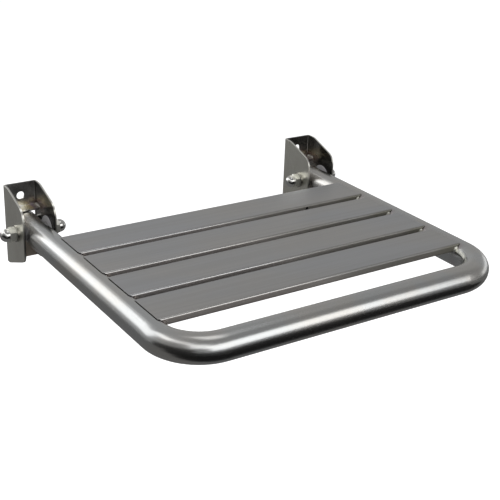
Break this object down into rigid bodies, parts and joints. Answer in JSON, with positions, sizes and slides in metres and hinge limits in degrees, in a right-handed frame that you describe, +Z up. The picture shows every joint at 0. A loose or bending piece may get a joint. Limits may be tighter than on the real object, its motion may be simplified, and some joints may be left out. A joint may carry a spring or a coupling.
{
  "type": "fold down wall seat",
  "caption": "Slatted stainless seat on a bent tube frame that folds down from two wall brackets with pivot bolts and stop tabs.",
  "frame": {"origin": "middle of the four wall screw holes, on the wall plane; the pivots lie 3.75 mm lower", "axes": "+X to the user's left seen from the wall, that is right seen from the front; -Y away from the wall over the seat; +Z up"},
  "size_m": [0.489, 0.406, 0.0971],
  "materials": {
    "bracket_steel": "satin folded sheet",
    "weld_steel": "brushed weld bead with heat tint",
    "turned_steel": "turned",
    "polished_steel": "polished",
    "tube_steel": "satin brushed round tube",
    "slat_steel": "brushed along its length",
    "bush_nylon": "plain nylon",
    "plug_plastic": "moulded"
  },
  "bodies": {
    "wall_brackets": {"left_bracket": "bracket_steel", "right_bracket": "bracket_steel", "left_tab_welds": "weld_steel", "right_tab_welds": "weld_steel", "left_pivot_rod": "turned_steel", "right_pivot_rod": "turned_steel", "left_washers": "turned_steel", "right_washers": "turned_steel", "left_outer_nut": "polished_steel", "left_inner_nut": "polished_steel", "right_inner_nut": "polished_steel", "right_outer_nut": "polished_steel"},
    "seat": {"seat_tube": "tube_steel", "slat_1": "slat_steel", "slat_2": "slat_steel", "slat_3": "slat_steel", "slat_4": "slat_steel", "left_slat_welds": "weld_steel", "right_slat_welds": "weld_steel", "left_pivot_sleeve": "turned_steel", "right_pivot_sleeve": "turned_steel", "left_outer_bush": "bush_nylon", "left_inner_bush": "bush_nylon", "right_inner_bush": "bush_nylon", "right_outer_bush": "bush_nylon", "left_end_plug": "plug_plastic", "right_end_plug": "plug_plastic"}
  },
  "joints": [
    {"name": "seat_fold", "type": "hinge", "parent": "wall_brackets", "child": "seat", "pos_m": [0, -0.038, -0.00375], "axis": [-1, 0, 0], "range_deg": [0, 93]}
  ]
}
